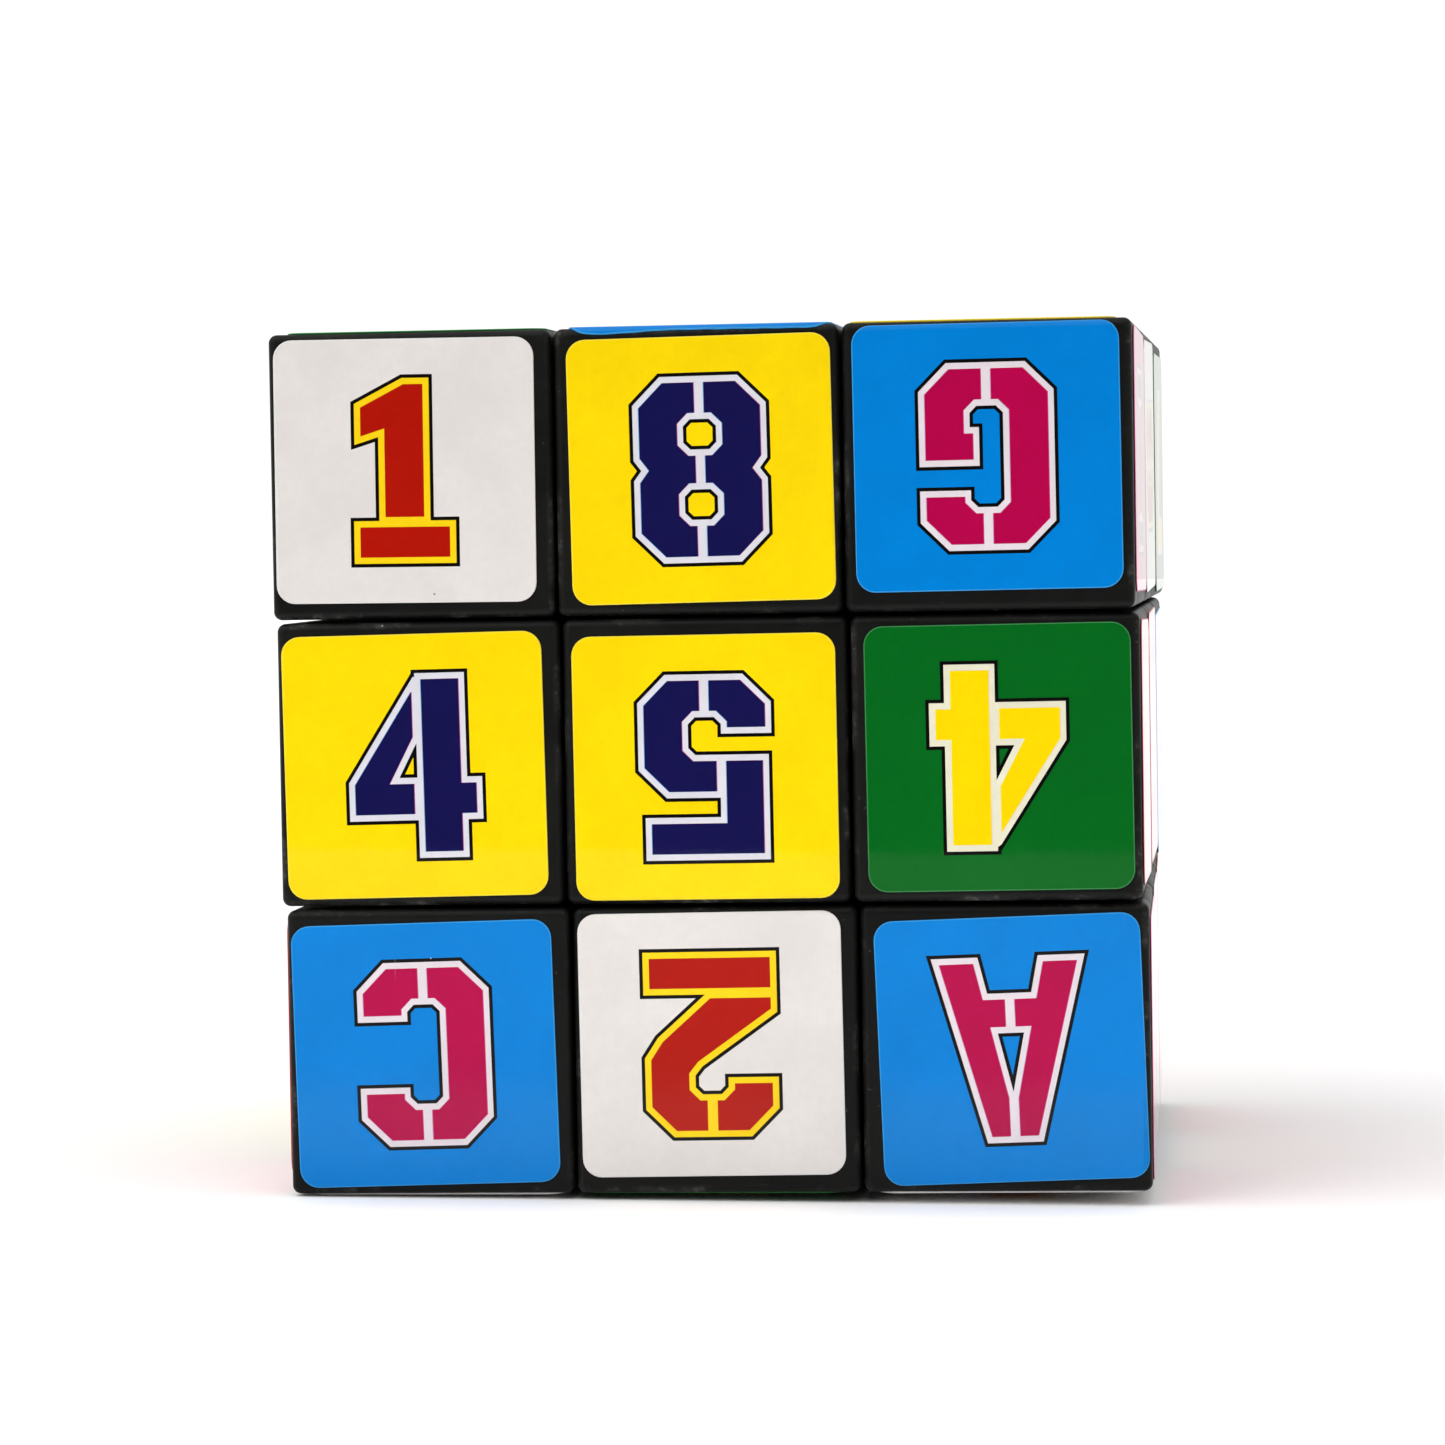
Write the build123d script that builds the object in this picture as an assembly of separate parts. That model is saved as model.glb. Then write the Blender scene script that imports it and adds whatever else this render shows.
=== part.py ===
from build123d import *
import math
import os

# 3 x 3 x 3 twisty puzzle cube with a spring-loaded six-arm core.
# Units: millimetres. Origin: centre of the core, where the three turning axes
# meet. +Z up, -Y is the front face, +X is the right face.

# ---------------------------------------------------------------- dimensions
PITCH = 19.0            # cubie pitch: three make 57 mm
HALF = 1.5 * PITCH      # outer plastic face, 28.5
CUT = 0.5 * PITCH       # layer cut planes at +-9.5
GAP = 0.12              # clearance on each side of a cut plane
EDGE_R = 0.55           # rounded edges of the cubies
WALL = 1.5              # moulded wall of the hollow cubies

SPHERE = 21.0           # ball surface between the visible cubies and the feet
SPHERE_GAP = 0.10       # clearance on each side of the ball surface
FOOT_CUT = 6.0          # inner cut planes between the feet
FOOT_GAP = 0.12         # clearance on each side of the inner cuts
FOOT_IN = 13.0          # inner radius of the feet, clear of the core

HUB_R = 8.5             # core hub
ARM_R = 3.6             # core arm radius
ARM_TIP = 14.0          # arm length from the centre
ARM_CLEAR = 0.15        # running clearance of a centre piece on its arm

SCREW_R = 1.25          # screw shank radius
SCREW_HEAD_R = 2.7
SCREW_HEAD_T = 1.7
SCREW_TIP = 5.2         # distance of the screw tip from the core's centre
WASHER_R = 3.5
WASHER_T = 0.6
SPRING_WIRE = 0.28      # wire radius
SPRING_R = 2.45         # mean coil radius
SPRING_TURNS = 5
WELL_R = 4.1            # bore of the centre piece round spring and washer
WELL_FLOOR = 15.9       # floor that the spring presses on
HEAD_SEAT = 21.2        # underside of the screw head
CAP_T = 1.9             # snap-in cap of the centre piece

PEG_R = 2.05            # corner foot peg
PEG_TIP = 29.0          # how far a peg reaches along its diagonal

STICKER = 17.42         # square film sticker
STICKER_R = 1.27        # its corner radius
FILM = 0.15             # its thickness

# Hand-applied stickers: offset right, offset up and turn (mm, mm, degrees)
# of each one on its cubie, three rows of three for each face.
STICKER_FIT = {
    "front": [(-0.44, 0.38, -0.2), (0.25, 0.13, 0.7), (0.03, 0.65, 0.4),
              (-0.38, -0.09, 0.8), (-0.04, -0.40, 0.3), (0.25, 0.03, 0.4),
              (-0.35, -0.18, 1.3), (-0.32, 0.35, 0.5), (0.42, -0.11, 1.8)],
    "right": [(0.22, 0.31, -0.6), (-0.12, 0.14, 0.9), (0.30, -0.22, 0.3),
              (-0.18, 0.05, -1.1), (0.09, 0.28, 0.5), (-0.33, -0.15, 1.2),
              (0.14, -0.20, 0.8), (0.26, 0.17, -0.4), (-0.08, 0.33, 1.4)],
    "back": [(0.11, -0.27, 0.8), (-0.24, 0.19, -0.5), (0.36, 0.08, 1.1),
             (0.05, -0.12, 1.3), (-0.29, 0.24, 0.2), (0.17, 0.35, -0.9),
             (-0.21, -0.06, 0.6), (0.33, -0.18, 1.0), (-0.10, 0.22, -0.3)],
    "left": [(0.28, -0.09, 1.2), (-0.15, 0.30, 0.4), (-0.46, -0.25, -0.3),
             (-0.32, 0.12, 0.9), (0.19, 0.06, -0.2), (-0.52, -0.31, 0.4),
             (-0.05, 0.27, 0.7), (-0.22, -0.14, -1.0), (0.13, 0.20, 0.3)],
    "top": [(-0.19, 0.16, 0.5), (0.27, -0.11, -0.8), (0.08, 0.29, 1.2),
            (0.31, -0.23, 0.9), (-0.13, 0.07, 1.0), (-0.26, 0.18, -0.4),
            (0.20, -0.28, 0.6), (0.10, -0.30, 1.6), (-0.30, -0.21, 0.2)],
    "bottom": [(0.16, 0.21, 0.7), (-0.28, -0.08, 1.1), (0.12, 0.26, -0.6),
               (-0.07, 0.33, 0.4), (0.23, -0.17, -0.9), (0.30, 0.10, 1.3),
               (-0.20, -0.24, 0.8), (0.06, 0.15, 0.1), (-0.31, 0.27, 1.0)],
}

# ------------------------------------------------------------------- helpers
TOP = Vector(0, 0, 1)


def span(x0, x1, y0, y1, z0, z1):
    """Box between two corners."""
    box = Box(x1 - x0, y1 - y0, z1 - z0)
    return Pos((x0 + x1) / 2, (y0 + y1) / 2, (z0 + z1) / 2) * box


def ball(r):
    return Sphere(r)


def rod(r, z0, z1):
    """Cylinder on the Z axis from z0 to z1."""
    return Pos(0, 0, (z0 + z1) / 2) * Cylinder(r, z1 - z0)


def along(shape, direction):
    """Turn a shape drawn about +Z so that it lies along a direction."""
    return Plane(origin=(0, 0, 0), z_dir=direction) * shape


def one(shape):
    """The single solid of a result, so that no stray crumb is left in it."""
    solids = sorted(shape.solids(), key=lambda s: -s.volume)
    return solids[0]


# The top and bottom layers rest a touch off square, as hands leave them:
# degrees about the vertical axis, anticlockwise seen from above.
LAYER_TURN = {"top": -0.54, "bottom": 0.75}


def write(name, shapes):
    if not isinstance(shapes, list):
        shapes = [shapes]
    turn = LAYER_TURN.get(name.split("_")[0], 0)
    solids = []
    for s in shapes:
        solids += [Rot(0, 0, turn) * solid for solid in s.solids()]
    out = solids[0] if len(solids) == 1 else Compound(children=solids)
    out.label = name
    export_step(out, "parts/" + name + ".step")


IN = CUT + GAP                   # inner faces of an outer-layer cubie
SIDE = CUT - GAP                 # half width of a middle-layer cubie
R_OUT = SPHERE + SPHERE_GAP      # ball seat under the visible cubies
R_FOOT = SPHERE - SPHERE_GAP     # ball surface of the feet
F_IN = FOOT_CUT + FOOT_GAP
F_SIDE = FOOT_CUT - FOOT_GAP

# -------------------------------------------------------------- corner pieces
# Drawn for the corner at +X +Y +Z: a hollow shell with a socket on its body
# diagonal, and a foot whose peg fills the socket.
DIAG = Vector(1, 1, 1)

block = span(IN, HALF, IN, HALF, IN, HALF)
block = fillet(block.edges(), EDGE_R)
cavity = span(IN + WALL, HALF - WALL, IN + WALL, HALF - WALL, IN + WALL, HALF - WALL)
socket_wall = along(rod(PEG_R + 1.3, R_OUT - 3, PEG_TIP + 1.4), DIAG)
corner_shell = block - (cavity - socket_wall) - ball(R_OUT)
corner_shell = corner_shell - along(rod(PEG_R, 10, PEG_TIP), DIAG)
# a slot through the socket wall vents the hollow, as in a moulded cubie
vent_box = Pos(0, 0, PEG_TIP - 1.0) * Box(1.2, 12.0, 2.0)
corner_shell = one(corner_shell - (along(vent_box, DIAG) & cavity))

foot_block = span(F_IN, 20, F_IN, 20, F_IN, 20)
corner_foot = (foot_block & ball(R_FOOT)) - ball(FOOT_IN)
corner_foot = one(corner_foot)
peg = along(rod(PEG_R, R_FOOT - 1.5, PEG_TIP), DIAG)
corner_foot = one(corner_foot + peg)

# ---------------------------------------------------------------- edge pieces
# Drawn for the edge at +Y +Z, lying along X.
EDIR = Vector(0, 1, 1)
block = span(-SIDE, SIDE, IN, HALF, IN, HALF)
block = fillet(block.edges(), EDGE_R)
cavity = span(-SIDE + WALL, SIDE - WALL, IN + WALL, HALF - WALL, IN + WALL, HALF - WALL)
PEG_W, PEG_H = 8.0, 3.2
PEG_TIP_E = 27.0
tilt = Plane(origin=(0, 0, 0), z_dir=EDIR, x_dir=(1, 0, 0))


def edge_peg(w, h, z0, z1):
    return tilt * (Pos(0, 0, (z0 + z1) / 2) * Box(w, h, z1 - z0))


socket_wall = edge_peg(PEG_W + 2.4, PEG_H + 2.4, R_OUT - 4, PEG_TIP_E + 1.4)
edge_shell = block - (cavity - socket_wall) - ball(R_OUT)
edge_shell = edge_shell - edge_peg(PEG_W, PEG_H, 10, PEG_TIP_E)
vent_box = tilt * (Pos(0, 0, PEG_TIP_E - 1.0) * Box(1.6, 12.0, 2.0))
edge_shell = one(edge_shell - (vent_box & cavity))

foot_block = span(-F_SIDE, F_SIDE, F_IN, 21, F_IN, 21)
edge_foot = (foot_block & ball(R_FOOT)) - ball(FOOT_IN)
edge_foot = one(edge_foot)
edge_foot = one(edge_foot + edge_peg(PEG_W, PEG_H, R_FOOT - 1.5, PEG_TIP_E))

# -------------------------------------------------------------- centre pieces
# Drawn for the top. The square stem runs between the edge feet and slides and
# spins on the core arm; the well holds spring, washer and screw head.
BASE_TOP = HALF - CAP_T
head = span(-SIDE, SIDE, -SIDE, SIDE, CUT, BASE_TOP)
head = fillet(head.edges().filter_by(Axis.Z), EDGE_R)
head = head - ball(R_OUT)
stem = span(-F_SIDE, F_SIDE, -F_SIDE, F_SIDE, F_IN, R_OUT + 2) - ball(FOOT_IN)
centre_base = head + stem
centre_base = centre_base - rod(WELL_R, WELL_FLOOR, HALF)          # spring well
centre_base = centre_base - rod(SCREW_R + 0.35, 5, WELL_FLOOR + 1)  # screw hole
centre_base = centre_base - rod(ARM_R + ARM_CLEAR, 5, ARM_TIP + 0.15)  # arm bore
# four lightening pockets round the well, open towards the cap
pocket = span(5.9, 7.9, -6.0, 6.0, 22.0, HALF)
for k in range(4):
    centre_base = centre_base - Rot(0, 0, 90 * k) * pocket
centre_base = one(centre_base)

# Cap: full face plate with a plug ring that snaps into the well.
cap = span(-SIDE, SIDE, -SIDE, SIDE, BASE_TOP + 0.02, HALF)
cap = fillet(cap.edges().filter_by(Axis.Z), EDGE_R)
cap = fillet(cap.faces().sort_by(Axis.Z)[-1].edges(), EDGE_R)
plug = rod(WELL_R - 0.03, BASE_TOP - 2.2, BASE_TOP + 0.5) - rod(WELL_R - 1.1, BASE_TOP - 3, BASE_TOP + 0.02)
centre_cap = one(cap + plug)

# ---------------------------------------------------------------- core spider
core = ball(HUB_R)
for d in ((1, 0, 0), (0, 1, 0), (0, 0, 1), (-1, 0, 0), (0, -1, 0), (0, 0, -1)):
    arm = rod(ARM_R, 0, ARM_TIP)
    core = core + along(arm, Vector(*d))
for d in ((1, 0, 0), (0, 1, 0), (0, 0, 1), (-1, 0, 0), (0, -1, 0), (0, 0, -1)):
    core = core - along(rod(SCREW_R, SCREW_TIP, ARM_TIP + 1), Vector(*d))
core = one(core)

# ------------------------------------------------------ screw, washer, spring
# Self-tapping pan-head screw: its shank cuts its own thread in the core arm.
shank = rod(SCREW_R, SCREW_TIP + 1.0, HEAD_SEAT)
tip = Pos(0, 0, SCREW_TIP + 0.5) * Cone(0.35, SCREW_R, 1.0)
pan = rod(SCREW_HEAD_R, HEAD_SEAT, HEAD_SEAT + SCREW_HEAD_T)
pan = fillet(pan.edges().sort_by(Axis.Z)[-1], 0.6)
slot_z = HEAD_SEAT + SCREW_HEAD_T
cross = Pos(0, 0, slot_z) * Box(3.2, 0.7, 1.8) + Pos(0, 0, slot_z) * Box(0.7, 3.2, 1.8)
screw = one((shank + tip + pan) - cross)

washer = rod(WASHER_R, HEAD_SEAT - WASHER_T, HEAD_SEAT) - rod(SCREW_R + 0.1, 10, 30)
washer = one(washer)

S0 = WELL_FLOOR + SPRING_WIRE + 0.03
S1 = HEAD_SEAT - WASHER_T - SPRING_WIRE - 0.03
coil = Pos(0, 0, S0) * Helix(pitch=(S1 - S0) / SPRING_TURNS, height=S1 - S0, radius=SPRING_R)
start = Plane(origin=coil @ 0, z_dir=coil % 0)
spring = sweep(start * Circle(SPRING_WIRE), path=coil, is_frenet=True)
spring = one(spring)

# -------------------------------------------------------------------- sticker
film = Box(STICKER, STICKER, FILM)
film = fillet(film.edges().filter_by(Axis.Z), STICKER_R)
film = Pos(0, 0, FILM / 2) * film

FACES = {
    "front": ((0, -1, 0), (1, 0, 0), (0, 0, 1)),
    "right": ((1, 0, 0), (0, 1, 0), (0, 0, 1)),
    "back": ((0, 1, 0), (-1, 0, 0), (0, 0, 1)),
    "left": ((-1, 0, 0), (0, -1, 0), (0, 0, 1)),
    "top": ((0, 0, 1), (1, 0, 0), (0, 1, 0)),
    "bottom": ((0, 0, -1), (1, 0, 0), (0, -1, 0)),
}


def sticker(face, row, col):
    """One sticker, lying on the outer face of its cubie."""
    n, u, v = (Vector(*a) for a in FACES[face])
    du, dv, turn = STICKER_FIT[face][3 * row + col]
    place = n * HALF + u * ((col - 1) * PITCH + du) + v * ((1 - row) * PITCH + dv)
    a = math.radians(turn)
    return Plane(origin=place, x_dir=u * math.cos(a) + v * math.sin(a), z_dir=n) * film


def turned(shape, ax, ay, az):
    return Rot(ax, ay, az) * shape


# -------------------------------------------------------------------- writing
os.makedirs("parts", exist_ok=True)

write("core_spider", core)

# directions of the six centres: (name, rotation that takes +Z to it)
CENTRES = {
    "top": (0, 0, 0),
    "bottom": (180, 0, 0),
    "front": (90, 0, 0),
    "back": (-90, 0, 0),
    "right": (0, 90, 0),
    "left": (0, -90, 0),
}
write("centre_screws", [turned(screw, *r) for r in CENTRES.values()])
write("screw_washers", [turned(washer, *r) for r in CENTRES.values()])
for name, r in CENTRES.items():
    write(name + "_centre_base", turned(centre_base, *r))
    write(name + "_centre_cap", turned(centre_cap, *r))
    write(name + "_centre_spring", turned(spring, *r))
    write(name + "_centre_sticker", sticker(name, 1, 1))

# Corners: the one drawn is back right top; turns about Z give the other three
# of the top layer, and a half turn about X gives the bottom layer.
CORNERS = {"back_right": 0, "back_left": 90, "front_left": 180, "front_right": 270}
feet = []
for name, a in CORNERS.items():
    write("top_corner_" + name, Rot(0, 0, a) * corner_shell)
    feet.append(Rot(0, 0, a) * corner_foot)
write("top_corner_feet", feet)
feet = []
flip = Rot(180, 0, 0)
# the half turn about X swaps front and back
SWAP = {"back_right": "front_right", "back_left": "front_left",
        "front_left": "back_left", "front_right": "back_right"}
for name, a in CORNERS.items():
    write("bottom_corner_" + SWAP[name], flip * (Rot(0, 0, a) * corner_shell))
    feet.append(flip * (Rot(0, 0, a) * corner_foot))
write("bottom_corner_feet", feet)

# Edges: the one drawn is back top.
EDGES = {"back": 0, "left": 90, "front": 180, "right": 270}
feet = []
for name, a in EDGES.items():
    write("top_edge_" + name, Rot(0, 0, a) * edge_shell)
    feet.append(Rot(0, 0, a) * edge_foot)
write("top_edge_feet", feet)
feet = []
SWAP = {"back": "front", "front": "back", "left": "left", "right": "right"}
for name, a in EDGES.items():
    write("bottom_edge_" + SWAP[name], flip * (Rot(0, 0, a) * edge_shell))
    feet.append(flip * (Rot(0, 0, a) * edge_foot))
write("bottom_edge_feet", feet)
# A quarter turn about Y stands the drawn edge upright at the back right.
upright = Rot(0, 90, 0)
feet = []
for name, a in CORNERS.items():
    write("middle_edge_" + name, Rot(0, 0, a) * (upright * edge_shell))
    feet.append(Rot(0, 0, a) * (upright * edge_foot))
write("middle_edge_feet", feet)

SIDES = ("front", "right", "back", "left")
write("top_layer_side_stickers", [sticker(f, 0, c) for f in SIDES for c in range(3)])
write("middle_layer_stickers", [sticker(f, 1, c) for f in SIDES for c in (0, 2)])
write("bottom_layer_side_stickers", [sticker(f, 2, c) for f in SIDES for c in range(3)])
RING = [(r, c) for r in range(3) for c in range(3) if (r, c) != (1, 1)]
write("top_face_stickers", [sticker("top", r, c) for r, c in RING])
write("bottom_face_stickers", [sticker("bottom", r, c) for r, c in RING])
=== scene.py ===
import math

import bmesh
import bpy
import numpy as np
from mathutils import Matrix, Vector
from mathutils.geometry import delaunay_2d_cdt


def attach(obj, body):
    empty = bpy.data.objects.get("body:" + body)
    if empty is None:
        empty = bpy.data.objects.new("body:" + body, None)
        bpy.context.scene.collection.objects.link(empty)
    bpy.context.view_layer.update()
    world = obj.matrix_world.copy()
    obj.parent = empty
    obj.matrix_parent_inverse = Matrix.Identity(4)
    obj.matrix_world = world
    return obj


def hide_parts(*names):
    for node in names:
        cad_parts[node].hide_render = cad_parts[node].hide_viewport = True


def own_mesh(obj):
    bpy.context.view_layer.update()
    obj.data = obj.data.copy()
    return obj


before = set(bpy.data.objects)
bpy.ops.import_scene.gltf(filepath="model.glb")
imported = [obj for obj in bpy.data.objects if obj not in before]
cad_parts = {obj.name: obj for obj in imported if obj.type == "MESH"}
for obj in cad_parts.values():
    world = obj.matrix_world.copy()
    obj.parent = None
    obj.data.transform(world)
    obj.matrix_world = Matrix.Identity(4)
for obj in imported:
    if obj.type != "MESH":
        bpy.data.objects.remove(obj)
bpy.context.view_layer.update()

# ------------------------------------------------------------------ sizes, in millimetres
MM = 0.001
PITCH = 19.0          # from one small cube to the next
HALF = 28.5           # half the puzzle's side, without stickers
STICKER = 17.42       # a sticker's side
STICKER_R = 1.27      # its corner radius
FILM = 0.15           # the most that it and its glue stand proud
THICK = 0.115         # the film itself, pressed down
EDGE_R = 0.55         # rounding of a small cube's edges
FLAT_OUT = 8.95       # from a small cube's middle to where its rounding starts, at the puzzle's outside
FLAT_IN = 8.83        # the same at the gap between two small cubes
CUT = 0.075           # width of the bare cut edge round each print
BAND = 0.41           # light band round each legend
LINE = 0.235          # black line round the band
SLIP = 0.045          # how far two inks are out of register
LAYER_TURN = {"top": -0.54, "bottom": 0.75}  # how far the layers rest off square, degrees anticlockwise from above

FACES = {  # outward normal, right and up as one looks at the face
    "front": ((0, -1, 0), (1, 0, 0), (0, 0, 1)),
    "right": ((1, 0, 0), (0, 1, 0), (0, 0, 1)),
    "back": ((0, 1, 0), (-1, 0, 0), (0, 0, 1)),
    "left": ((-1, 0, 0), (0, -1, 0), (0, 0, 1)),
    "top": ((0, 0, 1), (1, 0, 0), (0, 1, 0)),
    "bottom": ((0, 0, -1), (1, 0, 0), (0, -1, 0)),
}
ROWS = ("upper", "middle", "lower")
COLS = ("left", "centre", "right")

# How far each sticker sits off centre (right, up) and how far it is turned, degrees counter-clockwise, row by row.
FIT = {
    "front": [(-0.44, 0.38, -0.2), (0.25, 0.13, 0.7), (0.03, 0.65, 0.4),
              (-0.38, -0.09, 0.8), (-0.04, -0.40, 0.3), (0.25, 0.03, 0.4),
              (-0.35, -0.18, 1.3), (-0.32, 0.35, 0.5), (0.42, -0.11, 1.8)],
    "right": [(0.22, 0.31, -0.6), (-0.12, 0.14, 0.9), (0.30, -0.22, 0.3),
              (-0.18, 0.05, -1.1), (0.09, 0.28, 0.5), (-0.33, -0.15, 1.2),
              (0.14, -0.20, 0.8), (0.26, 0.17, -0.4), (-0.08, 0.33, 1.4)],
    "back": [(0.11, -0.27, 0.8), (-0.24, 0.19, -0.5), (0.36, 0.08, 1.1),
             (0.05, -0.12, 1.3), (-0.29, 0.24, 0.2), (0.17, 0.35, -0.9),
             (-0.21, -0.06, 0.6), (0.33, -0.18, 1.0), (-0.10, 0.22, -0.3)],
    "left": [(0.28, -0.09, 1.2), (-0.15, 0.30, 0.4), (-0.46, -0.25, -0.3),
             (-0.32, 0.12, 0.9), (0.19, 0.06, -0.2), (-0.52, -0.31, 0.4),
             (-0.05, 0.27, 0.7), (-0.22, -0.14, -1.0), (0.13, 0.20, 0.3)],
    "top": [(-0.19, 0.16, 0.5), (0.27, -0.11, -0.8), (0.08, 0.29, 1.2),
            (0.31, -0.23, 0.9), (-0.13, 0.07, 1.0), (-0.26, 0.18, -0.4),
            (0.20, -0.28, 0.6), (0.16, -0.88, 0.5), (-0.30, -0.21, 0.2)],
    "bottom": [(0.16, 0.21, 0.7), (-0.28, -0.08, 1.1), (0.12, 0.26, -0.6),
               (-0.07, 0.33, 0.4), (0.23, -0.17, -0.9), (0.30, 0.10, 1.3),
               (-0.20, -0.24, 0.8), (0.06, 0.15, 0.1), (-0.31, 0.27, 1.0)],
}

# Colour, legend and quarter turns counter-clockwise of each sticker, row by row.
STICKERS = {
    "front": [
        ("W", "1", 0), ("Y", "8", 2), ("B", "G", 2),
        ("Y", "4", 0), ("Y", "5", 2), ("G", "4", 2),
        ("B", "C", 2), ("W", "2", 2), ("B", "A", 2),
    ],
    "right": [
        ("X", "I", 2), ("W", "6", 1), ("G", "7", 2),
        ("R", "F", 2), ("R", "E", 3), ("B", "D", 2),
        ("X", "C", 2), ("W", "8", 0), ("R", "C", 3),
    ],
    "back": [
        ("R", "I", 2), ("Y", "2", 0), ("G", "9", 1),
        ("X", "F", 2), ("W", "5", 2), ("X", "B", 3),
        ("W", "3", 2), ("Y", "6", 3), ("R", "G", 1),
    ],
    "left": [
        ("Y", "3", 1), ("B", "F", 1), ("X", "A", 3),
        ("W", "4", 0), ("X", "E", 1), ("R", "H", 1),
        ("Y", "7", 0), ("G", "6", 3), ("R", "A", 2),
    ],
    "top": [
        ("X", "G", 3), ("G", "8", 2), ("Y", "1", 3),
        ("R", "D", 0), ("B", "E", 0), ("R", "B", 3),
        ("G", "3", 2), ("B", "H", 0), ("Y", "9", 0),
    ],
    "bottom": [
        ("W", "9", 2), ("G", "2", 0), ("W", "7", 2),
        ("X", "D", 0), ("G", "5", 2), ("B", "B", 3),
        ("B", "I", 3), ("X", "H", 0), ("G", "1", 2),
    ],
}

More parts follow.
